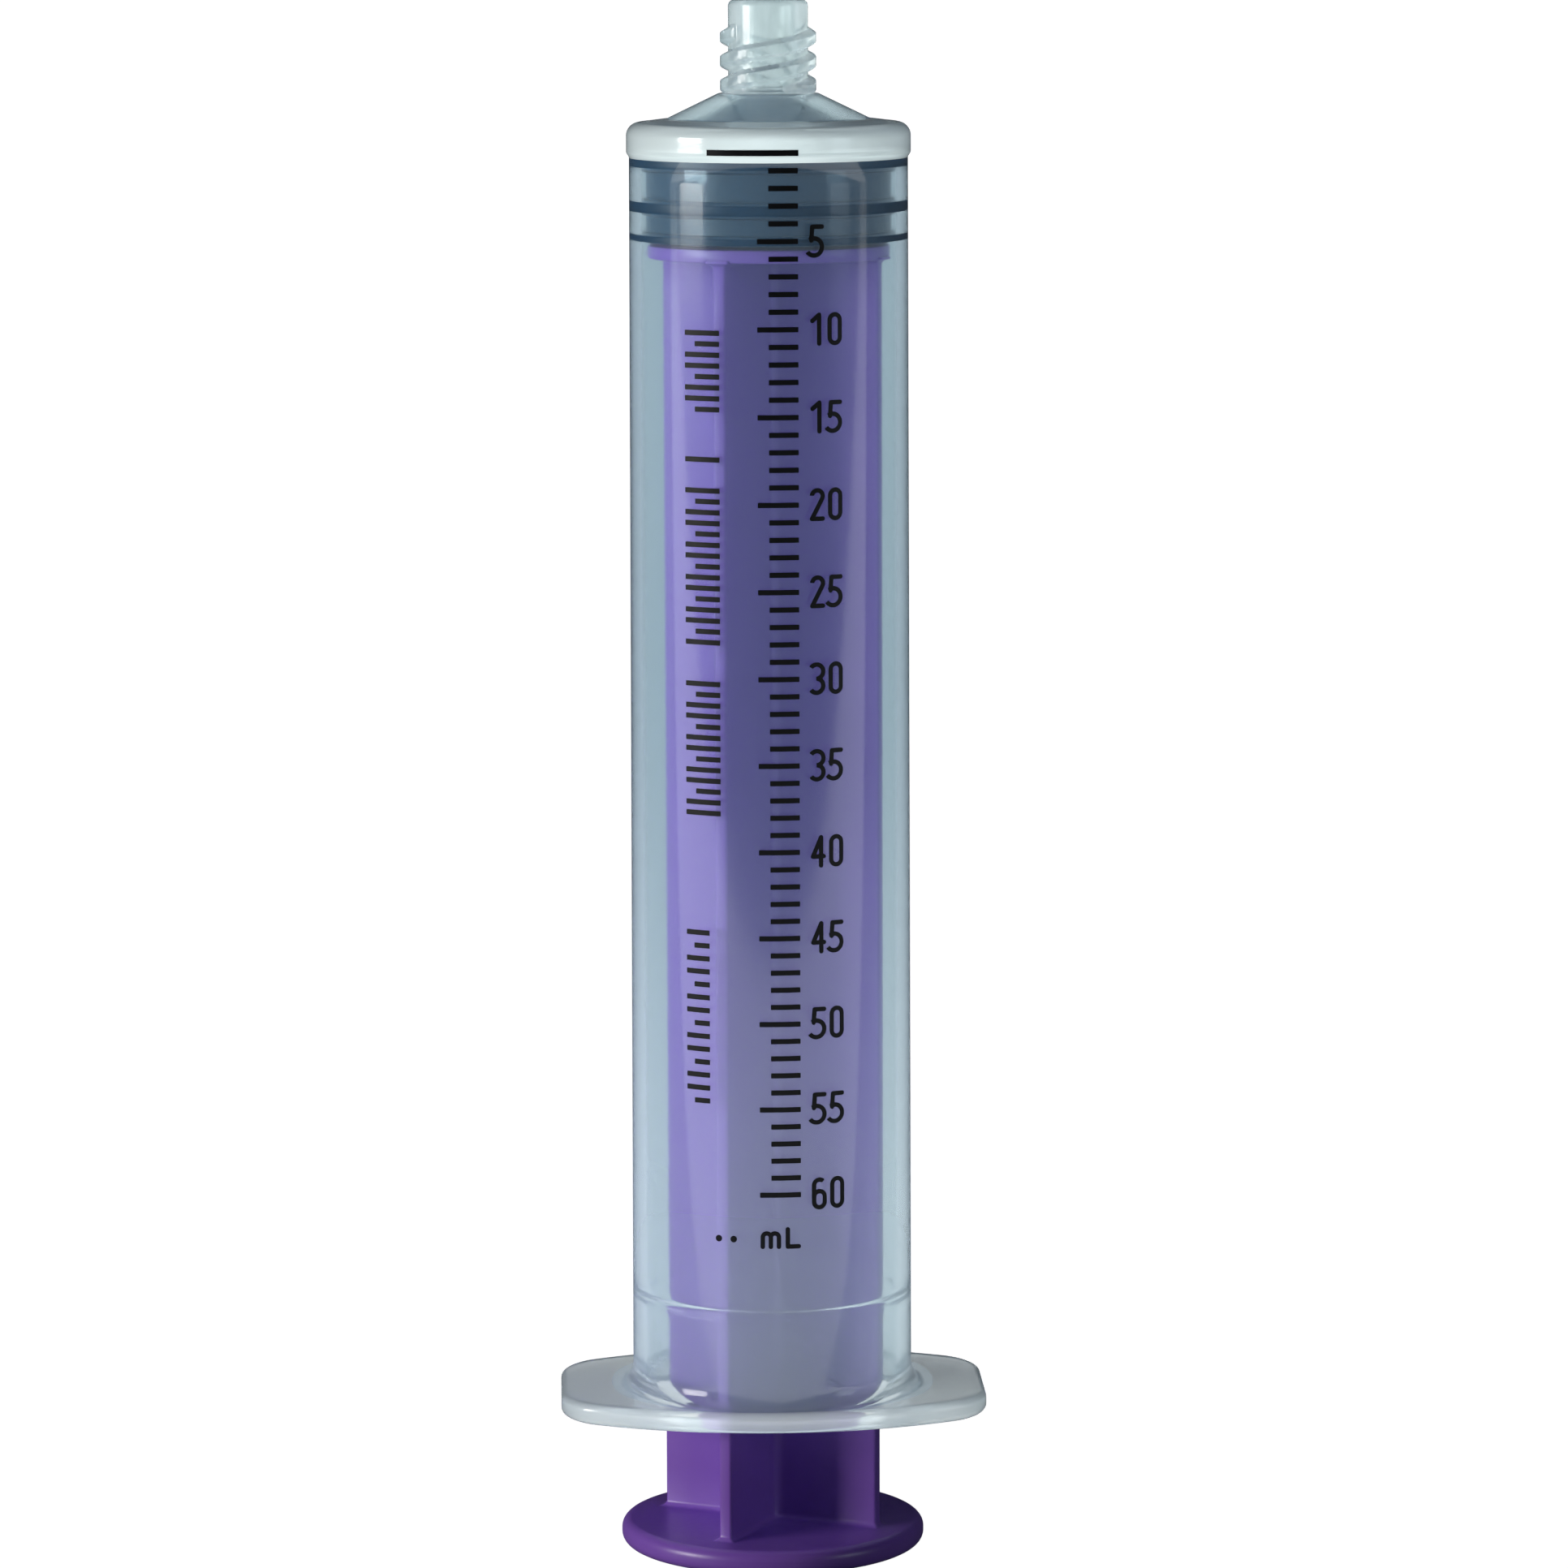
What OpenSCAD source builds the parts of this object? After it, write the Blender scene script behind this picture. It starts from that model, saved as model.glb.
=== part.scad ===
// Oral syringe, 60 mL: a clear barrel with a finger flange and a threaded feeding tip,
// a ribbed rubber stopper, and a cross-shaped plunger rod that clips into it.
// It stands on its thumb disc with the tip up. Millimetres, +Z towards the tip,
// print on the -Y side, origin at the middle of the thumb disc's underside.

/* [Scale] */
// Volume between the zero line and the last line, in mL
scale_ml = 60; // [20:5:60]
// Volume between numbered lines, in mL
number_step = 5; // [5:5:10]
// Height of a printed line
line_h = 0.54; // [0.3:0.02:0.6]
// Thickness of the ink
ink_t = 0.05; // [0.03:0.01:0.1]
// Height of a numeral
digit_h = 3.4; // [2.4:0.1:4]

/* [Barrel] */
// Bore of the barrel
bore_d = 26.6; // [24:0.1:28]
// Wall at the tip end
wall_tip = 1.2; // [1:0.05:1.5]
// Wall at the flange end
wall_flange = 1.5; // [1.2:0.05:2]
// Height of the zero line above the thumb disc's underside
zero_z = 148.4; // [146:0.1:156]
// Height of the flange's underside
flange_z = 15.2; // [12:0.1:16]
// Thickness of the flange
flange_t = 2.2; // [1.6:0.1:3]
// Width over the two finger wings
flange_w = 45; // [40:0.5:50]
// Depth of the flange through the barrel's middle
flange_d = 32; // [32:0.1:36]
// Turn of the wings from the middle of the print
flange_turn = 2; // [0:1:15]

/* [Tip] */
// Height of the tip's mouth above the zero line
tip_rise = 15.2; // [14:0.1:18]
// Diameter of the tip under the thread
tip_d = 8.3; // [8:0.1:8.6]
// Diameter over the thread
thread_d = 10; // [9.4:0.1:10.4]
// Travel of one thread in a full turn
thread_lead = 5; // [4:0.1:6]
// Diameter of the socket in the tip
socket_d = 5.7; // [5:0.1:6]
// Depth of the socket
socket_depth = 9; // [7:0.1:10]

/* [Plunger] */
// Diameter of the thumb disc
thumb_d = 32.2; // [28:0.1:34]
// Thickness of the thumb disc
thumb_t = 2.6; // [2:0.1:3]
// Width over two opposite ribs of the rod
cross_d = 24.5; // [18:0.1:25]
// Thickness of a rib
rib_t = 1.4; // [1:0.1:3]
// Turn of the ribs from the middle of the print
cross_turn = 66; // [0:1:89]
// Diameter of the plate under the stopper
plate_d = 25.2; // [20:0.1:25.2]
// Diameter of the rod's head
head_d = 16; // [12:0.1:18]

/* [Hidden] */
$fn = 96;
eps = 0.01;

// Barrel, from the flange up to the shoulder
bore_r = bore_d / 2;
tip_end_r = bore_r + wall_tip;
flange_end_r = bore_r + wall_flange;
flange_top = flange_z + flange_t;
fillet_r = flange_end_r + 1;
fillet_top = flange_top + 4;
mouth_flare = 0.6;
mouth_h = 0.9;
rim_r = tip_end_r + 0.3;
rim_round = 1.4;
rim_low = zero_z - 0.6;
rim_top = zero_z + 2.6;
cone_rise = 0.49;
cone_foot_r = 10.6;
cone_head_r = 4.9;
cone_foot = rim_top + 0.35;
cone_top = cone_foot + (cone_foot_r - cone_head_r) * cone_rise;
shoulder_in = zero_z - 0.1;
shoulder_rise = 0.48;
// The bead inside the open end, which stops the stopper
bead_z = zero_z - 121;
bead_r = 0.8;
bead_height = 0.35;

// Tip
tip_r = tip_d / 2;
tip_top = zero_z + tip_rise;
tip_round = 0.6;
orifice_r = socket_d / 2 - 0.45;
socket_floor = tip_top - socket_depth;
thread_low = zero_z + 4.45;
thread_turns = 1.3;
thread_begin = -70;
thread_foot = 1.9;
thread_crest = 0.7;
thread_fade = 40;

// Length of the bore that holds one mL, and the line of a volume
ml_h = 1000 / (PI * bore_r * bore_r);
function line_z(ml) = zero_z - ml * ml_h;

// Outside radius of the tapered tube at a height
taper = (tip_end_r - flange_end_r) / (rim_low - flange_top);
function tube_r(z) = flange_end_r + (z - flange_top) * taper;
// The zero line is printed on the rim, and the rest on the tube
function print_r(z) = z > rim_low ? rim_r : tube_r(z);

// Stopper: three sealing ribs on a narrower body, and a nose that follows the shoulder
seal_gap = 0.05;
seal_r = bore_r - seal_gap;
groove_r = 12.35;
seal_zs = [zero_z - 1.4, zero_z - 6, zero_z - 9.3];
seal_h = 0.8;
stopper_foot = zero_z - 9.7;
nose_gap = 0.3;
nose_r = 3.1;
edge_cut = 0.3;

// Rod's head in the stopper's pocket
turn_gap = 0.1;
head_r = head_d / 2;
neck_r = head_r - 2.5;
head_foot = zero_z - 6.9;
head_h = 3;
head_cone_h = 2.4;
head_top_r = 3;
plate_top = stopper_foot - 0.3;
plate_t = 1.4;
thumb_round = 1.1;

// Print: places around the barrel, in degrees from its front
line_right = 12;
minor_left = 0;
major_left = -4.6;
zero_left = -25;
numeral_left = 16.2;
zero_line_h = 0.6;
digit_w = 1.65;
digit_gap = 0.35;
pen = 0.47;
// A figure stands on its left foot: its pen's lines left, right, middle, low and high
xl = pen / 2;
xr = digit_w - pen / 2;
xc = digit_w / 2;
yb = pen / 2;
yt = digit_h - pen / 2;
bow = (digit_w - pen) / 2;
// The unit mark and the dots stand below the last line
unit_z = line_z(scale_ml) - 5.7;
unit_left = -4.7;
dot_angles = [-21.8, -15.5];
dot_z = unit_z + 0.6;
dot_d = 0.7;
// Plain bars in the place of a legend: first bar's height below the zero line, and how many
legend_right = -20.4;
legend_long = 15.8;
legend_short = 11;
legend_groups = [[18.4, 8], [31.4, 1], [34.6, 15], [54.6, 13]];
legend_pitch = 1.12;
footnote_groups = [[80.6, 14]];
footnote_right = -25.5;
footnote_long = 10.7;
footnote_short = 7;
footnote_pitch = 1.36;

module flange_outline() {
    // Two wide arcs, cut off at the wings' ends, with rounded corners that touch the arcs
    corner_r = 3;
    arc_r = 40;
    arc_y = arc_r - flange_d / 2;
    corner_x = flange_w / 2 - corner_r;
    corner_y = sqrt(pow(arc_r - corner_r, 2) - pow(corner_x, 2)) - arc_y;
    touch_x = corner_x * arc_r / (arc_r - corner_r);
    intersection() {
        translate([0, arc_y]) circle(arc_r, $fn = 180);
        translate([0, -arc_y]) circle(arc_r, $fn = 180);
        square([2 * touch_x, flange_d], center = true);
    }
    square([flange_w, 2 * corner_y], center = true);
    for (x = [-corner_x, corner_x], y = [-corner_y, corner_y])
        translate([x, y]) circle(corner_r);
}

module outer_profile() {
    polygon([[0, flange_z], [flange_end_r, flange_z], [fillet_r, flange_top],
             [flange_end_r + 0.4, flange_top + 1.2], [tube_r(fillet_top), fillet_top],
             [tip_end_r, rim_low - 0.4], [rim_r, rim_low], [0, rim_low]]);
    translate([0, rim_low]) square([rim_r, rim_top - rim_round - rim_low]);
    translate([0, rim_low]) square([rim_r - rim_round, rim_top - rim_low]);
    translate([rim_r - rim_round, rim_top - rim_round]) circle(rim_round);
    polygon([[0, rim_top - eps], [rim_r - rim_round, rim_top - eps],
             [cone_foot_r, cone_foot], [cone_head_r, cone_top],
             [tip_r, cone_top + 0.5], [0, cone_top + 0.5]]);
    straight_top = tip_top - tip_round;
    translate([0, cone_top]) square([tip_r, straight_top - cone_top]);
    translate([0, cone_top]) square([tip_r - tip_round, tip_top - cone_top]);
    translate([tip_r - tip_round, straight_top]) circle(tip_round);
}

module inner_profile() {
    nose_top = shoulder_in + (bore_r - orifice_r) * shoulder_rise;
    difference() {
        polygon([[0, flange_z - 1], [bore_r + mouth_flare, flange_z - 1],
                 [bore_r + mouth_flare, flange_z], [bore_r, flange_z + mouth_h],
                 [bore_r, shoulder_in], [orifice_r, nose_top],
                 [orifice_r, tip_top + 1], [0, tip_top + 1]]);
        translate([bore_r + bead_r - bead_height, bead_z]) circle(bead_r);
    }
}

// One ridge of the thread, swept up a right-hand helix and faded out at both ends
module thread_start(turn) {
    steps = 36;
    pitch_step = 360 * thread_turns / steps;
    root = tip_r - 0.25;
    depth = thread_d / 2 - root;
    function fade(a) = min(1, min(a, 360 * thread_turns - a) / thread_fade);
    function reach(a) = root + depth * (0.35 + 0.65 * fade(a));
    middle = thread_low + thread_foot / 2;
    function ring(a) = let (z = middle + thread_lead * a / 360, r = reach(a))
        [for (p = [[root, -thread_foot / 2], [r, -thread_crest / 2],
                   [r, thread_crest / 2], [root, thread_foot / 2]])
            [p[0] * cos(a), p[0] * sin(a), z + p[1]]];
    points = [for (i = [0:steps]) each ring(i * pitch_step)];
    sides = [for (i = [0:steps - 1], k = [0:3])
        let (a = 4 * i + k, b = 4 * i + (k + 1) % 4)
        each [[a, a + 4, b], [b, a + 4, b + 4]]];
    first = [[0, 1, 2], [0, 2, 3]];
    last = [for (t = first) [4 * steps + t[0], 4 * steps + t[2], 4 * steps + t[1]]];
    rotate([0, 0, turn]) polyhedron(points, concat(sides, first, last));
}

module barrel() {
    color([0.78, 0.86, 0.9, 0.5]) difference() {
        union() {
            rotate_extrude() outer_profile();
            translate([0, 0, flange_z]) rotate([0, 0, flange_turn])
                linear_extrude(flange_t) flange_outline();
            for (turn = [0, 180])
                thread_start(thread_begin + turn);
        }
        rotate_extrude() inner_profile();
        translate([0, 0, socket_floor]) cylinder(d = socket_d, h = socket_depth + 1);
    }
}

module stopper() {
    shoulder = shoulder_in - nose_gap;
    nose_top = shoulder + (bore_r - nose_r) * shoulder_rise;
    head_top = head_foot + head_h;
    color([0.33, 0.45, 0.53]) difference() {
        union() {
            translate([0, 0, stopper_foot])
                cylinder(r = groove_r, h = shoulder - stopper_foot);
            for (z = seal_zs)
                translate([0, 0, z - seal_h / 2]) cylinder(r = seal_r, h = seal_h);
            rotate_extrude() polygon([[0, seal_zs[0]], [seal_r, seal_zs[0]],
                [seal_r, shoulder - edge_cut], [seal_r - edge_cut, shoulder],
                [nose_r, nose_top], [0, nose_top]]);
        }
        translate([0, 0, stopper_foot - 1])
            cylinder(r = neck_r + turn_gap, h = head_top - stopper_foot + 1);
        translate([0, 0, head_foot - turn_gap])
            cylinder(r = head_r + turn_gap, h = head_h + 2 * turn_gap);
        translate([0, 0, head_top + turn_gap - eps])
            cylinder(r1 = head_r + turn_gap, r2 = head_top_r, h = head_cone_h + turn_gap);
    }
}

module plunger_rod() {
    color([0.35, 0.18, 0.6]) {
        // Thumb disc, with a rounded edge
        rotate_extrude() {
            square([thumb_d / 2 - thumb_round, thumb_t]);
            translate([0, thumb_round])
                square([thumb_d / 2, thumb_t - 2 * thumb_round]);
            for (z = [thumb_round, thumb_t - thumb_round])
                translate([thumb_d / 2 - thumb_round, z]) circle(thumb_round);
        }
        // Four ribs
        rib_h = plate_top - plate_t - thumb_t;
        for (turn = [0, 90])
            translate([0, 0, thumb_t + rib_h / 2]) rotate([0, 0, cross_turn + turn])
                cube([cross_d, rib_t, rib_h + 2 * eps], center = true);
        // Plate, neck and head
        translate([0, 0, plate_top - plate_t]) cylinder(d = plate_d, h = plate_t);
        translate([0, 0, plate_top - eps])
            cylinder(r = neck_r, h = head_foot - plate_top + 2 * eps);
        translate([0, 0, head_foot]) cylinder(r = head_r, h = head_h);
        translate([0, 0, head_foot + head_h - eps])
            cylinder(r1 = head_r, r2 = head_top_r, h = head_cone_h);
    }
}

// A printed bar: a sector of a thin band, between two angles from the front
module bar(z, left, right, height) {
    rotate([0, 0, left - 90]) rotate_extrude(angle = right - left)
        translate([print_r(z), z - height / 2]) square([ink_t, height]);
}

module scale_lines() {
    color([0.05, 0.05, 0.07]) {
        bar(zero_z, zero_left, line_right, zero_line_h);
        for (ml = [1:scale_ml])
            bar(line_z(ml), ml % number_step == 0 ? major_left : minor_left, line_right, line_h);
    }
}

// Strokes of a figure: a straight one between two points, and a round one
module stroke(from, to) {
    run = to - from;
    translate(from) rotate(atan2(run[1], run[0])) {
        translate([0, -pen / 2]) square([norm(run), pen]);
        circle(d = pen, $fn = 24);
    }
    translate(to) circle(d = pen, $fn = 24);
}

module round_stroke(centre, r, from, to) {
    reach = 2 * r + pen;
    translate(centre) intersection() {
        difference() {
            circle(r + pen / 2, $fn = 48);
            circle(r - pen / 2, $fn = 48);
        }
        polygon([[0, 0], for (i = [0:6])
            let (a = from + (to - from) * i / 6) reach * [cos(a), sin(a)]]);
    }
}

module figure(n) {
    if (n == 0) {
        round_stroke([xc, yt - bow], bow, 0, 180);
        round_stroke([xc, yb + bow], bow, 180, 360);
        for (x = [xl, xr])
            stroke([x, yb + bow], [x, yt - bow]);
    }
    if (n == 1) {
        stroke([xc + 0.25, yb], [xc + 0.25, yt]);
        stroke([xc + 0.25, yt], [xl + 0.1, yt - 0.6]);
    }
    if (n == 2) {
        turn = -28;
        knee = [xc + bow * cos(turn), yt - bow + bow * sin(turn)];
        round_stroke([xc, yt - bow], bow, turn, 175);
        stroke(knee, [xl, yb]);
        stroke([xl + 0.1, yb], [xr, yb]);
    }
    if (n == 3) {
        lobe = (yt - yb) / 4;
        round_stroke([xr - lobe, yt - lobe], lobe, -92, 145);
        round_stroke([xr - lobe, yb + lobe], lobe, -145, 92);
    }
    if (n == 4) {
        stem = xr - 0.3;
        stroke([stem, yb], [stem, yt]);
        stroke([stem, yt], [xl, yb + 0.95]);
        stroke([xl, yb + 0.95], [xr, yb + 0.95]);
    }
    if (n == 5) {
        lobe = 0.87;
        stroke([xl + 0.12, yt], [xr, yt]);
        stroke([xl + 0.12, yt], [xl + 0.02, yb + 2 * lobe - 0.2]);
        round_stroke([xr - lobe, yb + lobe], lobe, -145, 125);
    }
    if (n == 6) {
        loop_top = yb + 1.7;
        round_stroke([xc, yt - bow], bow, 45, 180);
        stroke([xl, yb + bow], [xl, yt - bow]);
        round_stroke([xc, yb + bow], bow, 180, 360);
        round_stroke([xc, loop_top - bow], bow, 0, 180);
        stroke([xr, yb + bow], [xr, loop_top - bow]);
    }
}

// Wraps a flat print onto the tube: its own middle faces along the given angle
module printed(angle, z, span) {
    reach = flange_end_r + 3;
    intersection() {
        rotate([0, 0, angle]) translate([0, -reach + 6, z]) rotate([90, 0, 0])
            linear_extrude(6) children();
        difference() {
            translate([0, 0, z - 1]) cylinder(r1 = tube_r(z - 1) + ink_t,
                r2 = tube_r(z + span) + ink_t, h = span + 1);
            translate([0, 0, z - 1 - eps]) cylinder(r1 = tube_r(z - 1 - eps),
                r2 = tube_r(z + span + eps), h = span + 1 + 2 * eps);
        }
    }
}

module scale_numerals() {
    advance = digit_w + digit_gap;
    turn = advance / tip_end_r * 180 / PI;
    color([0.05, 0.05, 0.07])
        for (ml = [number_step:number_step:scale_ml]) {
            figures = ml < 10 ? [ml] : [floor(ml / 10), ml % 10];
            for (k = [0:len(figures) - 1])
                printed(numeral_left + turn * (k + 0.45), line_z(ml) - digit_h / 2, digit_h)
                    translate([-digit_w / 2, 0]) figure(figures[k]);
        }
}

module unit_mark() {
    cap = 2.3;
    low = 1.65;
    hump = 0.42;
    foot = pen / 2;
    m_turn = 5.4;
    l_turn = 13.6;
    color([0.05, 0.05, 0.07]) {
        printed(unit_left + m_turn - 1, unit_z, cap) translate([-2 * hump, 0]) {
            for (i = [0:2])
                stroke([2 * hump * i, foot], [2 * hump * i, low - hump]);
            for (i = [0:1])
                round_stroke([hump * (2 * i + 1), low - hump], hump, 0, 180);
        }
        printed(unit_left + l_turn, unit_z, cap) translate([-0.6, 0]) {
            stroke([0, foot], [0, cap - foot]);
            stroke([0, foot], [1.15, foot]);
        }
        for (a = dot_angles)
            printed(a, dot_z, dot_d) translate([0, dot_d / 2]) circle(d = dot_d, $fn = 24);
    }
}

module bar_group(group, right, long, short, pitch) {
    for (i = [0:group[1] - 1])
        bar(zero_z - group[0] - pitch * i, right - (i % 3 == 1 ? short : long), right, line_h);
}

module legend_bars() {
    color([0.05, 0.05, 0.07]) {
        for (group = legend_groups)
            bar_group(group, legend_right, legend_long, legend_short, legend_pitch);
        for (group = footnote_groups)
            bar_group(group, footnote_right, footnote_long, footnote_short, footnote_pitch);
    }
}

barrel();
stopper();
plunger_rod();
scale_lines();
scale_numerals();
unit_mark();
legend_bars();
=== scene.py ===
import math

import bmesh
import bpy
import numpy as np
from mathutils import Matrix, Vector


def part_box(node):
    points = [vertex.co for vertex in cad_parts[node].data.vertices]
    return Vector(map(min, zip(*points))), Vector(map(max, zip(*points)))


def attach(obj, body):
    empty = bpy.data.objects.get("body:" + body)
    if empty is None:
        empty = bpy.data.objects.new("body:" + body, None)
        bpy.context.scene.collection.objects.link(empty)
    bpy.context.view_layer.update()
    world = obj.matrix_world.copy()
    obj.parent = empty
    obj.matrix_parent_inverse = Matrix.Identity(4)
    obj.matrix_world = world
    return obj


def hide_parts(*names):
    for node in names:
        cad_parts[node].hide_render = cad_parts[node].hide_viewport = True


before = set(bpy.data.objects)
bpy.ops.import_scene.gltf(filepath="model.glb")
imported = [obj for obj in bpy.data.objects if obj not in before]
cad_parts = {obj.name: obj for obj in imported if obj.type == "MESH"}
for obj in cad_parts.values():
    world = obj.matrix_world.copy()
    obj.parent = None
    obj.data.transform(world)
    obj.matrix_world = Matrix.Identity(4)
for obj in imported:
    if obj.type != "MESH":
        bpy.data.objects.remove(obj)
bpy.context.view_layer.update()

# ---------------------------------------------------------------------------------------
# Barrel. The clear body of the syringe: a slightly tapered tube with a finger flange, a
# thick rim and shoulder, and a threaded feeding tip. It is moulded in one shot from
# polypropylene, which stays a little milky, and the print is on its outside.
# ---------------------------------------------------------------------------------------
MM = 0.001
AROUND = 288
angle = np.arange(AROUND) * 2 * np.pi / AROUND

barrel_low, barrel_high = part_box("barrel")
# All lengths up to the studio are in millimetres
flange_z = barrel_low.z / MM
tip_top = barrel_high.z / MM
half_zero_line = 0.3
zero_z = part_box("scale_lines")[1].z / MM - half_zero_line

bore_r = 13.3
tube_foot_r = 14.8
tube_head_r = 14.5
flange_t = 2.2
flange_top = flange_z + flange_t
rim_low = zero_z - 0.6
rim_top = zero_z + 2.6
rim_r = 14.8
shoulder_in = zero_z - 0.1
cone_foot_r, cone_foot = 10.6, rim_top + 0.35
cone_head_r, cone_head = 4.9, rim_top + 3.14
tip_r = 4.15
socket_r = 2.85
orifice_r = 2.4
socket_depth = 9
socket_floor = tip_top - socket_depth


def arc(r, z, radius, start, end, count):
    """Points (radius from the axis, height) on a round edge, angles in degrees."""
    turns = np.radians(np.linspace(start, end, count))
    return [(r + radius * math.cos(t), z + radius * math.sin(t)) for t in turns]


def line(start, end, count):
    """Points on a straight edge, without its end."""
    shares = np.arange(count) / count
    run, rise = end[0] - start[0], end[1] - start[1]
    return [(start[0] + run * s, start[1] + rise * s) for s in shares]


def flange_reach(turn_deg):
    """The flange's reach from the axis: wide arcs cut off at the wings, with rounded corners."""
    corner_r, arc_r, half_w, half_d = 3.0, 40.0, 22.5, 16.0
    a = angle - math.radians(turn_deg)
    low, high = np.full(AROUND, 10.0), np.full(AROUND, 30.0)
    for _ in range(40):
        r = (low + high) / 2
        x, y = np.abs(r * np.cos(a)), np.abs(r * np.sin(a))
        past_arc = np.hypot(x, y + arc_r - half_d) - (arc_r - corner_r)
        past_end = x - (half_w - corner_r)
        outside = np.hypot(np.maximum(past_arc, 0), np.maximum(past_end, 0)) > corner_r
        high = np.where(outside, r, high)
        low = np.where(outside, low, r)
    return low


def thread_height(z):
    """Height of the two-start thread's ridge over the tip, at every angle of the ring at z."""
    lead, ridge, crest, height, fade, turns = 5.0, 1.9, 0.95, 0.85, 40.0, 1.3
    begin, low = math.radians(-70), zero_z + 4.45 + ridge / 2
    found = np.zeros(AROUND)
    for start in (0, math.pi):
        past = np.degrees(np.mod(angle - begin - start, 2 * np.pi))
        for turn in (-360, 0, 360):
            along = past + turn
            gone = np.clip(np.minimum(along, 360 * turns - along) / fade, -1, 1)
            away = np.abs(z - (low + lead * along / 360))
            slope = np.clip((ridge / 2 - away) / (ridge / 2 - crest / 2), 0, 1)
            slope = 0.6 * slope + 0.4 * slope * slope * (3 - 2 * slope)
            found = np.maximum(found, height * slope * np.maximum(gone, 0) ** 0.6)
    return found


def turned(name, rows, closed):
    """A mesh from rings. A ring is its radius at every angle, its height, and the finish above it."""
    radii = np.array([np.broadcast_to(r, AROUND) for r, _, _ in rows])
    heights = np.array([np.broadcast_to(z, AROUND) for _, z, _ in rows])
    points = np.stack([radii * np.cos(angle), radii * np.sin(angle), heights], -1) * MM
    bands = len(rows) if closed else len(rows) - 1
    faces, finishes = [], []
    for i in range(bands):
        j = (i + 1) % len(rows)
        for k in range(AROUND):
            m = (k + 1) % AROUND
            faces.append((i * AROUND + k, j * AROUND + k, j * AROUND + m, i * AROUND + m))
            finishes.append(rows[i][2])
    mesh = bpy.data.meshes.new(name)
    mesh.from_pydata(points.reshape(-1, 3).tolist(), [], faces)
    mesh.polygons.foreach_set("material_index", finishes)
    bm = bmesh.new()
    bm.from_mesh(mesh)
    bmesh.ops.remove_doubles(bm, verts=bm.verts, dist=1e-7)
    bmesh.ops.recalc_face_normals(bm, faces=bm.faces)
    bm.to_mesh(mesh)
    bm.free()
    made = bpy.data.objects.new(name, mesh)
    bpy.context.scene.collection.objects.link(made)
    return made


def smooth(piece, sharp_deg):
    """Smooth shading, with edges sharper than the angle kept."""
    piece.data.shade_smooth()
    piece.data.set_sharp_from_angle(angle=math.radians(sharp_deg))


# The finishes of the barrel's bands, in the order of its materials
WALL, RIM, TIP, FLANGE, BORE, CONE = range(6)


def tube_r(z):
    """Outside radius of the tapered tube at a height."""
    share = (z - flange_top) / (rim_low - flange_top)
    return tube_foot_r + (tube_head_r - tube_foot_r) * share


rows = []
mouth_edge, tip_round, ring_step = 0.2, 0.6, 0.12
# Mouth and outside of the tip, with the thread on it
tip_edges = arc(socket_r + mouth_edge, tip_top - mouth_edge, mouth_edge, 180, 90, 4)
tip_edges += arc(tip_r - tip_round, tip_top - tip_round, tip_round, 90, 0, 8)
for r, z in tip_edges:
    rows.append((r, z, TIP))
for z in np.arange(tip_top - 0.72, cone_head + 0.62, -ring_step):
    rows.append((tip_r + thread_height(z), z, TIP))
# Concave foot of the tip, and the cone: the thread runs out in it
foot_r = 0.75
for r, z in arc(tip_r + foot_r, cone_head + 0.55, foot_r, 180, 243, 8)[1:]:
    ridge = tip_r + thread_height(z)
    rows.append((np.maximum(r, ridge), z, TIP))
for r, z in line((cone_head_r + 0.35, cone_head - 0.2), (cone_foot_r, cone_foot), 14):
    ridge = tip_r + thread_height(z)
    rows.append((np.maximum(r, ridge), z, CONE))
rim_round = 1.4
for r, z in line((cone_foot_r, cone_foot), (rim_r - rim_round, rim_top), 4):
    rows.append((r, z, RIM))
for r, z in arc(rim_r - rim_round, rim_top - rim_round, rim_round, 90, 0, 12):
    rows.append((r, z, RIM))
for z in np.linspace(rim_top - 1.7, rim_low + 0.15, 5):
    rows.append((rim_r, z, RIM))
for r, z in ((rim_r - 0.05, rim_low), (tube_head_r + 0.06, rim_low - 0.3)):
    rows.append((r, z, RIM))
# Tube, down to the fillet over the flange
fillet = 2.2
tube_low = flange_top + fillet
for z in np.linspace(rim_low - 0.45, tube_low + 0.4, 60):
    rows.append((tube_r(z), z, WALL))
wing_turn, rounding = 2, 0.75
reach = flange_reach(wing_turn)
top_edge = reach - rounding
foot = np.minimum(tube_foot_r + 1.5, top_edge - 0.15)
for t in np.radians(np.linspace(0, 90, 10)):
    out = (foot - tube_r(tube_low)) * (1 - math.cos(t))
    rows.append((tube_r(tube_low) + out, tube_low - fillet * math.sin(t), WALL))
for share in (0.15, 0.35, 0.6, 0.85, 1):
    rows.append((foot + (top_edge - foot) * share, flange_top, FLANGE))
for t in np.radians(np.linspace(75, 0, 6)):
    z = flange_top - rounding * (1 - math.sin(t))
    rows.append((top_edge + rounding * math.cos(t), z, FLANGE))
for t in np.radians(np.linspace(0, -90, 7)):
    z = flange_z + rounding * (1 + math.sin(t))
    rows.append((top_edge + rounding * math.cos(t), z, FLANGE))
mouth, mouth_round = bore_r + 0.6, 0.2
for share in (0.8, 0.5, 0.2):
    out = (top_edge - mouth - mouth_round) * share
    rows.append((mouth + mouth_round + out, flange_z, FLANGE))
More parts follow.
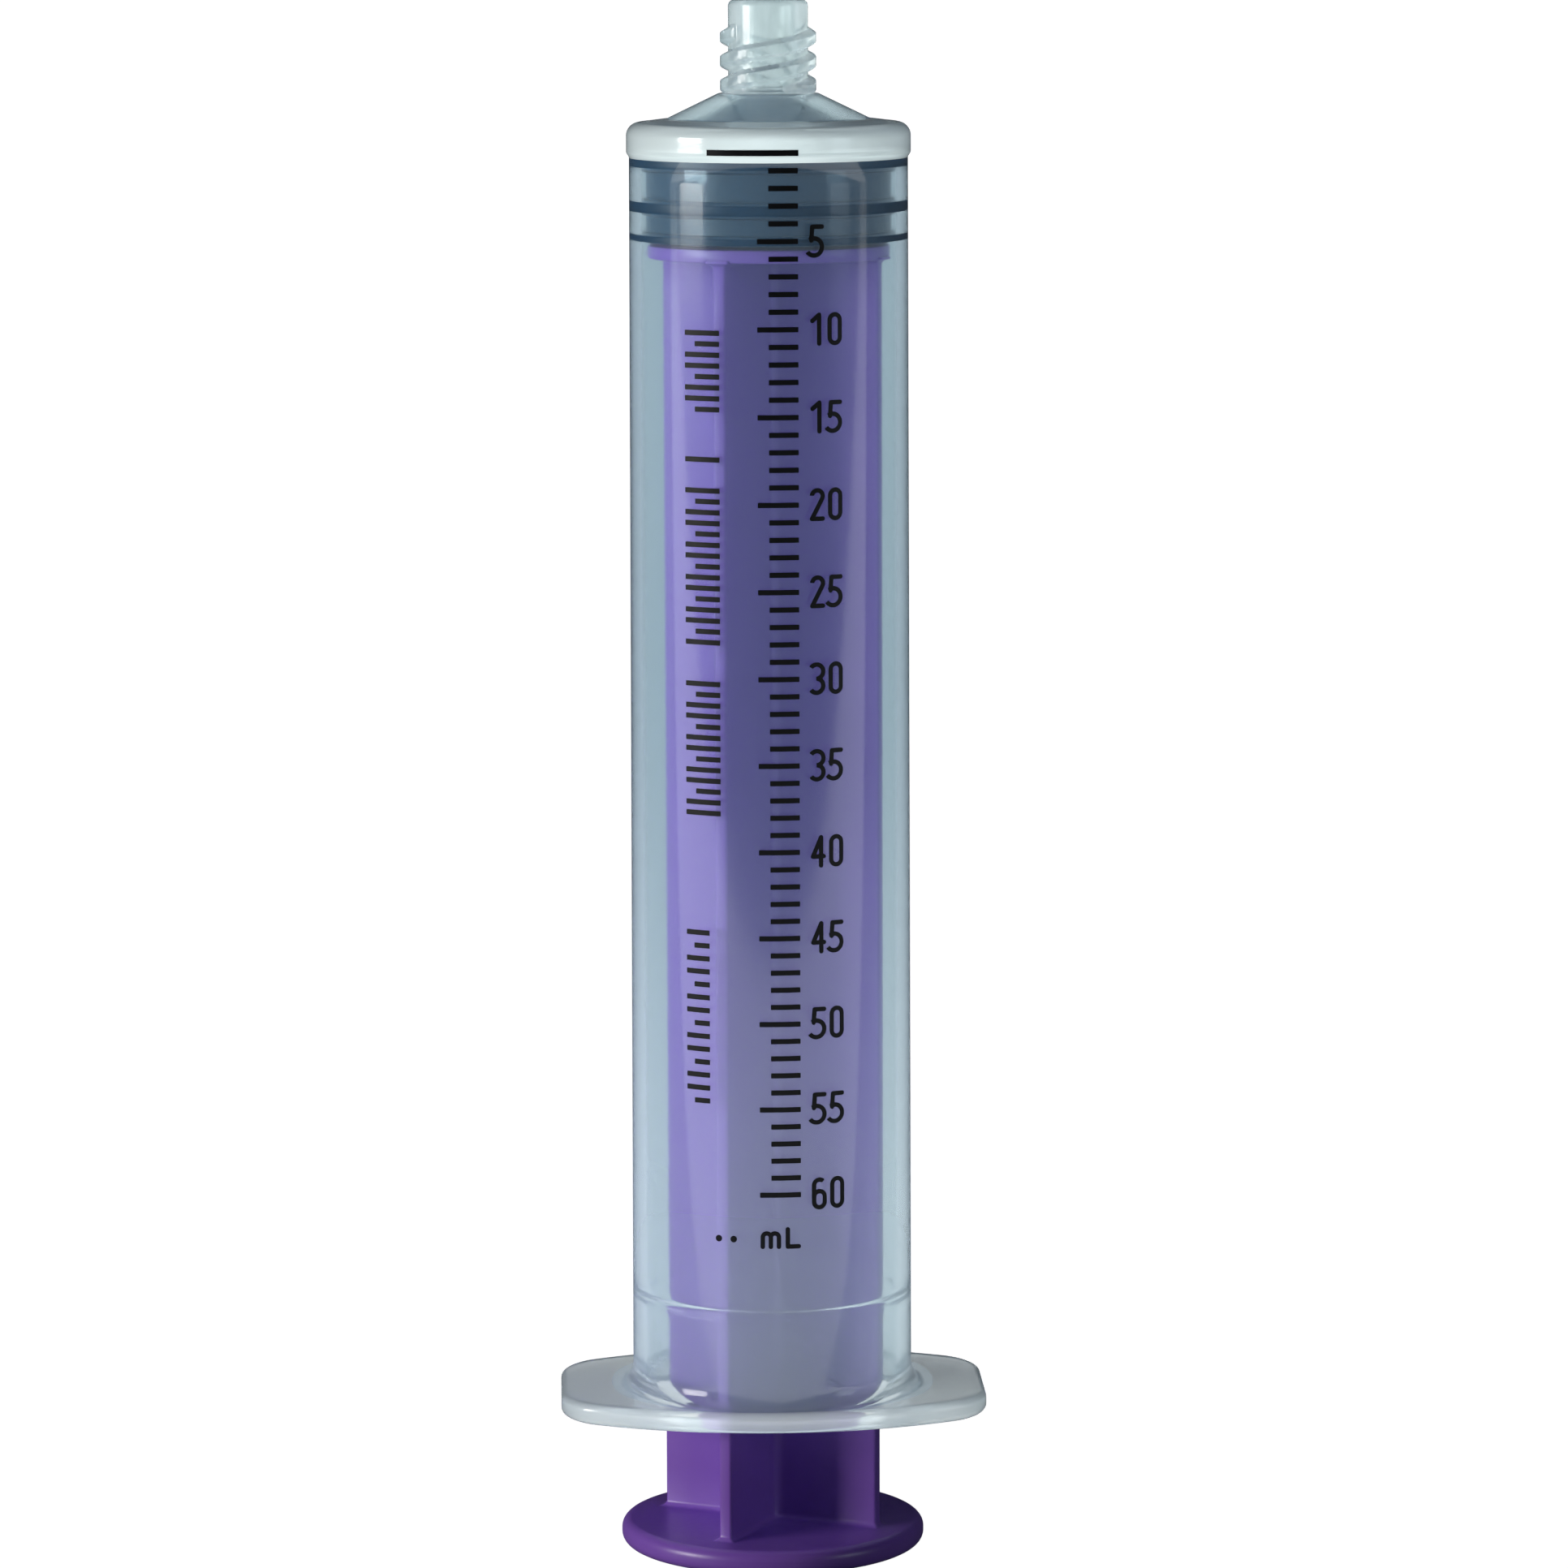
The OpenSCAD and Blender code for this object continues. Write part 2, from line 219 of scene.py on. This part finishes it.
# Mouth of the bore, the bead that holds the stopper in, and the bore
rows.append((mouth + mouth_round, flange_z, BORE))
rows.append((mouth + 0.06, flange_z + 0.06, BORE))
rows.append((mouth, flange_z + mouth_round, BORE))
below_bead, above_bead = 25.9, 29.2
for z in np.linspace(flange_z + 0.9, below_bead, 6):
    rows.append((bore_r, z, BORE))
bead_z, bead_in, bead_half = zero_z - 121, 0.3, 0.75
for t in np.linspace(-1, 1, 13):
    bump = bead_in * math.cos(t * math.pi / 2) ** 2
    rows.append((bore_r - bump, bead_z + bead_half * t, BORE))
for z in np.linspace(above_bead, shoulder_in - 0.5, 60):
    rows.append((bore_r, z, BORE))
shoulder_rise, corner = 0.48, 0.4
for r, z in arc(bore_r - corner, shoulder_in - 0.2, corner, 0, 64, 6)[1:]:
    rows.append((r, z, BORE))
slope_start = (bore_r - 0.5, shoulder_in + 0.22)
slope_end = (orifice_r + 0.15, shoulder_in + (bore_r - orifice_r) * shoulder_rise - 0.06)
for r, z in line(slope_start, slope_end, 12) + [slope_end]:
    rows.append((r, z, BORE))
for r, z in line((orifice_r, slope_end[1] + 0.12), (orifice_r, socket_floor), 4):
    rows.append((r, z, BORE))
floor_round = 0.08
rows.append((orifice_r, socket_floor, BORE))
rows.append((socket_r - floor_round, socket_floor, BORE))
rows.append((socket_r, socket_floor + floor_round, BORE))
for z in np.linspace(socket_floor + 0.6, tip_top - 0.6, 8):
    rows.append((socket_r, z, BORE))

barrel = turned("barrel_body", rows, closed=True)
smooth(barrel, 38)


def socket(tree, way, kind, name, value=None):
    """One input or output of a node group."""
    made = tree.interface.new_socket(name=name, in_out=way, socket_type=kind)
    if value is not None:
        made.default_value = value
    return made


def moulded_surface():
    """What every moulded skin has: cloudy flow marks and a fine uneven skin."""
    tree = bpy.data.node_groups.new("moulded_surface", "ShaderNodeTree")
    for name, kind, value in (
        ("Colour", "NodeSocketColor", (0.5, 0.5, 0.5, 1)),
        ("Cloud Colour", "NodeSocketColor", (0.6, 0.6, 0.6, 1)),
        ("Cloud Size", "NodeSocketFloat", 60.0),
        ("Roughness", "NodeSocketFloat", 0.3),
        ("Roughness Change", "NodeSocketFloat", 0.08),
        ("Skin Size", "NodeSocketFloat", 900.0),
    ):
        socket(tree, "INPUT", kind, name, value=value)
    for name, kind in (
        ("Colour", "NodeSocketColor"),
        ("Roughness", "NodeSocketFloat"),
        ("Height", "NodeSocketFloat"),
    ):
        socket(tree, "OUTPUT", kind, name)
    nodes, links = tree.nodes, tree.links
    given = nodes.new("NodeGroupInput")
    out = nodes.new("NodeGroupOutput")
    place = nodes.new("ShaderNodeTexCoord")
    # Flow marks are drawn out along the way the plastic ran
    stretch = nodes.new("ShaderNodeMapping")
    stretch.inputs["Scale"].default_value = (1, 1, 0.3)
    links.new(place.outputs["Object"], stretch.inputs["Vector"])
    cloud = nodes.new("ShaderNodeTexNoise")
    cloud.inputs["Detail"].default_value = 4
    cloud.inputs["Roughness"].default_value = 0.55
    links.new(stretch.outputs["Vector"], cloud.inputs["Vector"])
    links.new(given.outputs["Cloud Size"], cloud.inputs["Scale"])
    spread = nodes.new("ShaderNodeMapRange")
    spread.inputs["From Min"].default_value = 0.32
    spread.inputs["From Max"].default_value = 0.68
    links.new(cloud.outputs["Fac"], spread.inputs["Value"])
    colour = nodes.new("ShaderNodeMix")
    colour.data_type = "RGBA"
    links.new(spread.outputs["Result"], colour.inputs["Factor"])
    links.new(given.outputs["Colour"], colour.inputs["A"])
    links.new(given.outputs["Cloud Colour"], colour.inputs["B"])
    links.new(colour.outputs["Result"], out.inputs["Colour"])
    skin = nodes.new("ShaderNodeTexNoise")
    skin.inputs["Detail"].default_value = 5
    links.new(place.outputs["Object"], skin.inputs["Vector"])
    links.new(given.outputs["Skin Size"], skin.inputs["Scale"])
    rougher = nodes.new("ShaderNodeMath")
    rougher.operation = "MULTIPLY_ADD"
    centred = nodes.new("ShaderNodeMath")
    centred.operation = "SUBTRACT"
    centred.inputs[1].default_value = 0.5
    links.new(skin.outputs["Fac"], centred.inputs[0])
    links.new(centred.outputs["Value"], rougher.inputs[0])
    links.new(given.outputs["Roughness Change"], rougher.inputs[1])
    links.new(given.outputs["Roughness"], rougher.inputs[2])
    links.new(rougher.outputs["Value"], out.inputs["Roughness"])
    height = nodes.new("ShaderNodeMath")
    height.operation = "MULTIPLY_ADD"
    height.inputs[1].default_value = 0.35
    links.new(skin.outputs["Fac"], height.inputs[0])
    links.new(cloud.outputs["Fac"], height.inputs[2])
    links.new(height.outputs["Value"], out.inputs["Height"])
    return tree


skin_group = moulded_surface()


def finish_of(name, colour, cloud_colour, cloud_size, roughness, change, skin_size, bump):
    """A material with the moulded skin on a Principled shader. Gives both back."""
    made = bpy.data.materials.new(name)
    made.use_nodes = True
    nodes, links = made.node_tree.nodes, made.node_tree.links
    shader = nodes["Principled BSDF"]
    skin = nodes.new("ShaderNodeGroup")
    skin.node_tree = skin_group
    skin.inputs["Colour"].default_value = (*colour, 1)
    skin.inputs["Cloud Colour"].default_value = (*cloud_colour, 1)
    skin.inputs["Cloud Size"].default_value = cloud_size
    skin.inputs["Roughness"].default_value = roughness
    skin.inputs["Roughness Change"].default_value = change
    skin.inputs["Skin Size"].default_value = skin_size
    links.new(skin.outputs["Colour"], shader.inputs["Base Color"])
    links.new(skin.outputs["Roughness"], shader.inputs["Roughness"])
    relief = nodes.new("ShaderNodeBump")
    relief.inputs["Strength"].default_value = bump
    relief.inputs["Distance"].default_value = 0.0001
    links.new(skin.outputs["Height"], relief.inputs["Height"])
    links.new(relief.outputs["Normal"], shader.inputs["Normal"])
    return made, shader


def clear_plastic(name, clearness, milk, colour, roughness,
                  shade=(0.84, 0.86, 0.82), cloud=1.06, size=55):
    """Milky polypropylene: light goes through and bends, or is scattered. Lamps shine through."""
    cloudy = tuple(min(1, c * cloud) for c in colour)
    made, shader = finish_of(name, colour, cloudy, size, roughness, 0.05, 700, 0.08)
    shader.inputs["IOR"].default_value = 1.49
    shader.inputs["Transmission Weight"].default_value = clearness
    nodes, links = made.node_tree.nodes, made.node_tree.links
    glow = nodes.new("ShaderNodeBsdfTranslucent")
    glow.inputs["Color"].default_value = (0.72, 0.85, 0.95, 1)
    milky = nodes.new("ShaderNodeMixShader")
    milky.inputs["Fac"].default_value = milk
    links.new(shader.outputs["BSDF"], milky.inputs[1])
    links.new(glow.outputs["BSDF"], milky.inputs[2])
    path = nodes.new("ShaderNodeLightPath")
    clear = nodes.new("ShaderNodeBsdfTransparent")
    clear.inputs["Color"].default_value = (*shade, 1)
    mixed = nodes.new("ShaderNodeMixShader")
    links.new(path.outputs["Is Shadow Ray"], mixed.inputs["Fac"])
    links.new(milky.outputs["Shader"], mixed.inputs[1])
    links.new(clear.outputs["BSDF"], mixed.inputs[2])
    links.new(mixed.outputs["Shader"], nodes["Material Output"].inputs["Surface"])
    return made


for made in (
    clear_plastic("clear_wall", 0.975, 0.05, (0.5, 0.62, 0.68), 0.09),
    clear_plastic("clear_rim", 0.4, 0.08, (0.72, 0.79, 0.78), 0.13),
    # On the tip the cloud marks are much brighter and finer. They are flow marks in the plastic and
    # also painted highlights: bright blotches in its colour.
    clear_plastic("clear_tip", 0.76, 0.14, (0.42, 0.48, 0.48), 0.14, cloud=1.8, size=330),
    clear_plastic("clear_flange", 0.62, 0.1, (0.9, 0.96, 0.97), 0.15, (0.25, 0.28, 0.3)),
    clear_plastic("clear_bore", 0.98, 0.02, (0.78, 0.84, 0.84), 0.06),
    clear_plastic("clear_cone", 0.85, 0.07, (0.6, 0.76, 0.79), 0.12),
):
    barrel.data.materials.append(made)


def along_tube(tree, low, high, start, end):
    """A value that goes from start to end between two heights on the tube."""
    place = tree.nodes.new("ShaderNodeTexCoord")
    parts = tree.nodes.new("ShaderNodeSeparateXYZ")
    value = tree.nodes.new("ShaderNodeMapRange")
    value.interpolation_type = "SMOOTHSTEP"
    value.inputs["From Min"].default_value = low * MM
    value.inputs["From Max"].default_value = high * MM
    value.inputs["To Min"].default_value = start
    value.inputs["To Max"].default_value = end
    tree.links.new(place.outputs["Object"], parts.inputs["Vector"])
    tree.links.new(parts.outputs["Z"], value.inputs["Value"])
    return value.outputs["Result"]


# The wall is paler and milkier toward the flange. This is partly because the wall is thicker there,
# and partly painted light that brightens the lower tube, where the soft boxes light it less.
milk_and_painted_light_low, milk_and_painted_light_high = flange_top - 5, zero_z - 50
wall = barrel.data.materials[WALL].node_tree
# Painted light: this tint is paler low down, partly for the thicker wall and partly to make up for
# the weaker lamp light there
milk_and_painted_light_tint = wall.nodes.new("ShaderNodeMix")
milk_and_painted_light_tint.data_type = "RGBA"
milk_and_painted_light_tint.inputs["A"].default_value = (0.6, 0.7, 0.73, 1)
milk_and_painted_light_tint.inputs["B"].default_value = (0.38, 0.5, 0.57, 1)
wall.links.new(along_tube(wall, milk_and_painted_light_low, milk_and_painted_light_high, 0, 1), milk_and_painted_light_tint.inputs["Factor"])
skin = wall.nodes["Group"]
wall.links.new(milk_and_painted_light_tint.outputs["Result"], skin.inputs["Colour"])
wall.links.new(milk_and_painted_light_tint.outputs["Result"], skin.inputs["Cloud Colour"])
milk = along_tube(wall, milk_and_painted_light_low, milk_and_painted_light_high, 0.28, 0.03)
wall.links.new(milk, wall.nodes["Mix Shader"].inputs["Fac"])
# Painted light: the bore's surface glows, seen only by rays that have bounced off a diffuse surface,
# so it lights the rod inside the tube, less so near the open end. It stands in for the light that the
# milky wall scatters inward.
inside = barrel.data.materials[BORE].node_tree
path = inside.nodes.new("ShaderNodeLightPath")
lit = inside.nodes.new("ShaderNodeMath")
lit.operation = "GREATER_THAN"
lit.inputs[1].default_value = 0.5
inside.links.new(path.outputs["Diffuse Depth"], lit.inputs[0])
spread = inside.nodes.new("ShaderNodeMath")
spread.operation = "MULTIPLY"
inside.links.new(lit.outputs["Value"], spread.inputs[0])
inside.links.new(along_tube(inside, flange_top + 4, flange_top + 40, 0, 1), spread.inputs[1])
# Colour of the painted glow
light = inside.nodes.new("ShaderNodeMix")
light.data_type = "RGBA"
light.inputs["A"].default_value = (0, 0, 0, 1)
light.inputs["B"].default_value = (0.18, 0.18, 0.27, 1)
inside.links.new(spread.outputs["Value"], light.inputs["Factor"])
shader = inside.nodes["Principled BSDF"]
inside.links.new(light.outputs["Result"], shader.inputs["Emission Color"])
shader.inputs["Emission Strength"].default_value = 1
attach(barrel, "barrel")
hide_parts("barrel")

# ---------------------------------------------------------------------------------------
# Print. The scale lines, figures, unit mark and plain bars are black ink, rolled onto the
# barrel after moulding. The ink is thin, a little uneven, and duller than the plastic.
# ---------------------------------------------------------------------------------------
ink, shader = finish_of(
    "black_ink", (0.001, 0.0015, 0.002), (0.003, 0.004, 0.006), 400, 0.42, 0.2, 2500, 0.3
)
shader.inputs["Specular IOR Level"].default_value = 0.15
for node in ("scale_lines", "scale_numerals", "unit_mark", "legend_bars"):
    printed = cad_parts[node]
    printed.data.materials.clear()
    printed.data.materials.append(ink)

# ---------------------------------------------------------------------------------------
# Stopper. Dark blue-grey rubber, moulded, with three sealing ribs that press on the bore,
# a shallow waist between them, and a cone on top that fills the shoulder. A pocket in its
# foot snaps over the rod's head.
# ---------------------------------------------------------------------------------------
stopper_low, stopper_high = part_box("stopper")
stopper_foot = stopper_low.z / MM
nose_top = stopper_high.z / MM
rib_r, waist_r = 13.34, 12.75
rib_zs = (zero_z - 1.15, zero_z - 6, zero_z - 9.3)
nose_foot = shoulder_in - 0.3
pocket_r, neck_hole_r = 8.1, 5.6
pocket_low, pocket_high = zero_z - 7.0, zero_z - 3.8
outline = [(0, nose_top - 0.05), (1.5, nose_top - 0.03)]
outline += [(2.6, nose_top - 0.1), (3.2, nose_top - 0.32)]
outline += line((3.6, nose_top - 0.5), (12.6, nose_foot + 0.3), 14)
outline += [(12.8, nose_foot + 0.2), (13.15, nose_foot - 0.02)]


def rib_round(z, half, r):
    """The rounded nose of a sealing rib."""
    return [(waist_r + (r - waist_r) * math.sqrt(1 - u ** 4), z - half * u)
            for u in np.linspace(-1, 1, 21)]


outline += rib_round(rib_zs[0], 1.1, rib_r)[4:]
outline += [(waist_r, z) for z in np.linspace(rib_zs[0] - 1.3, rib_zs[1] + 1.2, 8)]
outline += rib_round(rib_zs[1], 0.9, rib_r)
outline += [(waist_r, z) for z in np.linspace(rib_zs[1] - 1.1, rib_zs[2] + 1.0, 4)]
outline += rib_round(rib_zs[2], 0.75, rib_r)[:14]
outline += [(12.9, stopper_foot + 0.12), (12.7, stopper_foot)]
outline += line((11.8, stopper_foot), (neck_hole_r + 0.3, stopper_foot), 6)
outline += [(neck_hole_r + 0.08, stopper_foot + 0.1), (neck_hole_r, stopper_foot + 0.3)]
outline += [(neck_hole_r, pocket_low - 0.1), (neck_hole_r + 0.1, pocket_low), (pocket_r, pocket_low)]
outline += [(pocket_r, pocket_high), (3.1, pocket_high + 2.5), (0, pocket_high + 2.5)]
stopper = turned("stopper_body", [(r, z, 0) for r, z in outline], closed=False)
smooth(stopper, 40)
rubber, shader = finish_of(
    "stopper_rubber", (0.004, 0.05, 0.115), (0.008, 0.06, 0.135), 120, 0.36, 0.12, 1800, 0.3
)
shader.inputs["Specular IOR Level"].default_value = 0.45
stopper.data.materials.append(rubber)
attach(stopper, "stopper")
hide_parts("stopper")

# ---------------------------------------------------------------------------------------
# Plunger rod. Purple plastic, moulded in one piece: a round thumb disc, four long ribs in a
# cross, a plate under the stopper and a head that snaps into it.
# ---------------------------------------------------------------------------------------
thumb_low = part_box("plunger_rod")[0].z / MM
thumb_r, thumb_t, thumb_round = 16.1, 2.6, 1.1
thumb_top = thumb_low + thumb_t
cross_r, rib_half, cross_turn = 12.25, 0.7, 66
plate_low, plate_high, plate_r = stopper_foot - 1.7, stopper_foot - 0.3, 12.6
head_low, head_high = zero_z - 6.9, zero_z - 3.9
disc_outline = [(0, thumb_top), (4, thumb_top), (9, thumb_top), (13, thumb_top)]
disc_outline += arc(thumb_r - thumb_round, thumb_top - thumb_round, thumb_round, 90, 0, 9)
disc_outline += arc(thumb_r - thumb_round, thumb_low + thumb_round, thumb_round, 0, -90, 9)
# The underside, with the shallow mark of the gate in its middle
disc_outline += [(12, thumb_low), (6, thumb_low), (1.3, thumb_low)]
disc_outline += [(1.0, thumb_low + 0.25), (0, thumb_low + 0.3)]
round_out, round_mid = 0.3, 0.08
neck_r, head_r = 5.5, 8
top_outline = [(0, plate_low), (6, plate_low), (plate_r - round_out, plate_low)]
top_outline += [(plate_r - round_mid, plate_low + round_mid), (plate_r, plate_low + round_out)]
top_outline += [(plate_r, plate_high - round_out), (plate_r - round_mid, plate_high - round_mid)]
top_outline += [(plate_r - round_out, plate_high), (5.9, plate_high), (5.6, plate_high + 0.1)]
top_outline += [(neck_r, plate_high + 0.4), (neck_r, head_low), (head_r - round_out, head_low)]
top_outline += [(head_r - round_mid, head_low + round_mid), (head_r, head_low + round_out)]
top_outline += [(head_r, head_high), (3.2, head_high + 2.3)]
top_outline += [(2.6, head_high + 2.4), (0, head_high + 2.4)]


def cross_outline(grow):
    """The cross of four ribs from above, grown by a distance: rounded edges, filleted roots."""
    edge_round, root = 0.3, 0.9
    along_rib = (0, 1.2, 3, 5.2, 7.4)
    points = []
    for quarter in range(4):
        a = math.radians(cross_turn + 90 * quarter)
        out, side = np.array([math.cos(a), math.sin(a)]), np.array([-math.sin(a), math.cos(a)])
        h, reach_r = rib_half + grow, cross_r + grow
        local = [(rib_half + root + s, -h) for s in along_rib]
        local += arc(reach_r - edge_round, -h + edge_round, edge_round, -90, 0, 5)
        local += arc(reach_r - edge_round, h - edge_round, edge_round, 0, 90, 5)
        local += [(rib_half + root + s, h) for s in along_rib[::-1]]
        points += [out * u + side * v for u, v in local]
        # The root's fillet, round the corner to the next rib
        centre = (rib_half + root) * (out + side)
        fillet_r = root - grow
        for t in np.radians(np.linspace(-90, -180, 6))[1:-1]:
            points.append(centre + fillet_r * (out * math.cos(t) + side * math.sin(t)))
    return np.array(points)


def cross_body(name):
    """The ribs from the disc to the plate, with a fillet at both ends."""
    low, high, fillet_z = thumb_top - 0.3, plate_low + 0.3, 0.6
    levels = [(low, fillet_z)]
    levels += [(thumb_top + fillet_z * (1 - math.cos(t)), fillet_z * (1 - math.sin(t)))
               for t in np.radians(np.linspace(0, 90, 6))]
    levels += [(z, 0) for z in np.linspace(thumb_top + 4, plate_low - 4, 24)]
    levels += [(plate_low - fillet_z * (1 - math.cos(t)), fillet_z * (1 - math.sin(t)))
               for t in np.radians(np.linspace(90, 0, 6))]
    levels += [(high, fillet_z)]
    rings = []
    for z, grow in levels:
        ring = cross_outline(grow)
        rings.append(np.column_stack([ring, np.full(len(ring), z)]))
    count = len(rings[0])
    faces = []
    for start in range(0, (len(rings) - 1) * count, count):
        for k in range(count):
            m = (k + 1) % count
            faces.append((start + k, start + m, start + count + m, start + count + k))
    last = (len(rings) - 1) * count
    faces += [tuple(range(count))[::-1], tuple(range(last, last + count))]
    mesh = bpy.data.meshes.new(name)
    mesh.from_pydata((np.concatenate(rings) * MM).tolist(), [], faces)
    made = bpy.data.objects.new(name, mesh)
    bpy.context.scene.collection.objects.link(made)
    return made


rod = cross_body("plunger_rod_body")
for name, points in (("disc", disc_outline), ("head", top_outline)):
    other = turned(name, [(r, z, 0) for r, z in points], closed=False)
    union = rod.modifiers.new(name, "BOOLEAN")
    union.operation = "UNION"
    union.solver = "EXACT"
    union.object = other
    joined = rod.evaluated_get(bpy.context.evaluated_depsgraph_get())
    shape = bpy.data.meshes.new_from_object(joined)
    rod.modifiers.clear()
    rod.data = shape
    bpy.data.objects.remove(other)
smooth(rod, 35)
purple, shader = finish_of(
    "purple_plastic", (0.24, 0.1, 0.54), (0.27, 0.12, 0.58), 70, 0.34, 0.1, 1100, 0.2
)
shader.inputs["Subsurface Weight"].default_value = 0.07
shader.inputs["Subsurface Radius"].default_value = (0.6, 0.25, 1.0)
shader.inputs["Subsurface Scale"].default_value = 0.0012
rod.data.materials.clear()
rod.data.materials.append(purple)
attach(rod, "rod")
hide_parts("plunger_rod")

# ---------------------------------------------------------------------------------------
# Studio, in metres. A white sheet lies under the syringe and rises behind it, and a brighter
# one lies in front. A tall soft box stands on each side, the left one the stronger.
# ---------------------------------------------------------------------------------------
sheet_front, sheet_back, sheet_half, bend_r, sheet_h = -0.414, 1.6, 3.0, 0.6, 2.4
under_disc, front_edge, front_drop = 0.0003, -0.08, -0.001


def seen_directly(tree):
    """1 for what is seen without a diffuse bounce in between, or else 0."""
    path = tree.nodes.new("ShaderNodeLightPath")
    direct = tree.nodes.new("ShaderNodeMath")
    direct.operation = "LESS_THAN"
    direct.inputs[1].default_value = 1
    tree.links.new(path.outputs["Diffuse Depth"], direct.inputs[0])
    return direct.outputs["Value"]


def glowing_paper(name, strength):
    """White paper that glows but lights no diffuse surface, and is clear from behind."""
    made, shader = finish_of(name, (0.3, 0.3, 0.3), (0.33, 0.33, 0.33), 6, 0.8, 0.1, 300, 0.05)
    shader.inputs["Emission Color"].default_value = (1, 1, 1, 1)
    nodes, links = made.node_tree.nodes, made.node_tree.links
    glow = nodes.new("ShaderNodeMath")
    glow.operation = "MULTIPLY"
    glow.inputs[1].default_value = strength
    links.new(seen_directly(made.node_tree), glow.inputs[0])
    links.new(glow.outputs["Value"], shader.inputs["Emission Strength"])
    side = nodes.new("ShaderNodeNewGeometry")
    see_through = nodes.new("ShaderNodeBsdfTransparent")
    one_sided = nodes.new("ShaderNodeMixShader")
    links.new(side.outputs["Backfacing"], one_sided.inputs["Fac"])
    links.new(shader.outputs["BSDF"], one_sided.inputs[1])
    links.new(see_through.outputs["BSDF"], one_sided.inputs[2])
    links.new(one_sided.outputs["Shader"], nodes["Material Output"].inputs["Surface"])
    return made


def paper_sheet(name, profile, paper):
    """A wide sheet along a profile of (depth, height), front to back."""
    points = [(x, y, z) for y, z in profile for x in (-sheet_half, sheet_half)]
    faces = [(2 * i, 2 * i + 1, 2 * i + 3, 2 * i + 2) for i in range(len(profile) - 1)]
    mesh = bpy.data.meshes.new(name)
    mesh.from_pydata(points, [], faces)
    mesh.materials.append(paper)
    made = bpy.data.objects.new(name, mesh)
    bpy.context.scene.collection.objects.link(made)
    made.visible_diffuse = False
    return made


profile = [(sheet_front, 0), (-0.2, 0), (0, 0), (0.3, 0), (0.8, 0)]
profile += [(sheet_back - bend_r + bend_r * math.sin(t), bend_r - bend_r * math.cos(t))
            for t in np.radians(np.linspace(0, 90, 16))]
profile += [(sheet_back, 1.2), (sheet_back, sheet_h)]
profile = [(y, z - under_disc) for y, z in profile]
sweep = paper_sheet("paper_sweep", profile, glowing_paper("white_paper", 1.0))
sweep.data.shade_smooth()
sweep.visible_glossy = False
front_profile = [(sheet_front, front_drop), (front_edge, front_drop)]
front_sheet = paper_sheet("front_sheet", front_profile, glowing_paper("lit_paper", 1.6))
# The sheets stay under the thumb disc when the plunger is drawn out
for sheet in (sweep, front_sheet):
    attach(sheet, "stopper")


def soft_box(name, azimuth, distance, low, high, width, power, colour):
    """A tall soft box that faces the syringe. Azimuth is from the front, + to the right."""
    light = bpy.data.lights.new(name, "AREA")
    light.shape = "RECTANGLE"
    light.size, light.size_y = width, high - low
    light.energy, light.color = power, colour
    made = bpy.data.objects.new(name, light)
    a = math.radians(azimuth)
    made.location = (distance * math.sin(a), -distance * math.cos(a), (low + high) / 2)
    made.rotation_euler = (math.radians(90), 0, a)
    bpy.context.scene.collection.objects.link(made)
    return made


light_distance = 2.5
soft_box("soft_box_left", -66.5, light_distance, 0.036, 0.85, 1.0, 40, (1, 0.98, 0.95))
soft_box("soft_box_right", 61, light_distance, 0.034, 0.85, 0.8, 5.2, (0.81, 0.92, 1))
# Light that lies in the milky plastic: it falls on the barrel alone and casts no glints
fill = soft_box("milk_fill", 4, light_distance, 0.02, 1.2, 1.6, 23, (0.9, 0.98, 1))
bounce = soft_box("paper_bounce", 0, 0.22, 0, 0.3, 0.5, 1.9, (0.95, 1, 1))
bounce.location.z = 0.002
bounce.rotation_euler = (math.radians(180), 0, 0)
milky_pieces = bpy.data.collections.new("milky_pieces")
milky_pieces.objects.link(barrel)
for light in (fill, bounce):
    light.visible_glossy = False
    light.visible_transmission = False
    light.light_linking.receiver_collection = milky_pieces

# The room is white where it is looked at or seen through the plastic, and dim everywhere else
world = bpy.data.worlds.new("studio")
bpy.context.scene.world = world
world.use_nodes = True
nodes, links = world.node_tree.nodes, world.node_tree.links
path = nodes.new("ShaderNodeLightPath")
seen = nodes.new("ShaderNodeMath")
seen.operation = "MAXIMUM"
links.new(path.outputs["Is Camera Ray"], seen.inputs[0])
links.new(path.outputs["Is Transmission Ray"], seen.inputs[1])
bright = nodes.new("ShaderNodeMath")
bright.operation = "MULTIPLY"
links.new(seen.outputs["Value"], bright.inputs[0])
links.new(seen_directly(world.node_tree), bright.inputs[1])
room = nodes.new("ShaderNodeMix")
room.data_type = "RGBA"
room.inputs["A"].default_value = (0.02, 0.023, 0.028, 1)
room.inputs["B"].default_value = (1, 1, 1, 1)
links.new(bright.outputs["Value"], room.inputs["Factor"])
links.new(room.outputs["Result"], nodes["Background"].inputs["Color"])

# ---------------------------------------------------------------------------------------
# Camera. A long lens, a little above the middle of the syringe.
# ---------------------------------------------------------------------------------------
view_distance, view_pitch, view_roll, view_side = 0.7, 8.0, -0.17, 0.00143
aim_z = (zero_z - 66.87) * MM
camera = bpy.data.objects.new("camera", bpy.data.cameras.new("camera"))
camera.data.sensor_width = 36
camera.data.lens = 152.6
pitch = math.radians(view_pitch)
roll = Matrix.Rotation(math.radians(view_roll), 4, "Z")
turn = Matrix.Rotation(math.pi / 2 - pitch, 4, "X") @ roll
back, up = view_distance * math.cos(pitch), view_distance * math.sin(pitch)
camera.matrix_world = Matrix.Translation((view_side, -back, aim_z + up)) @ turn
bpy.context.scene.collection.objects.link(camera)
bpy.context.scene.camera = camera
bpy.context.scene.view_settings.view_transform = "Standard"
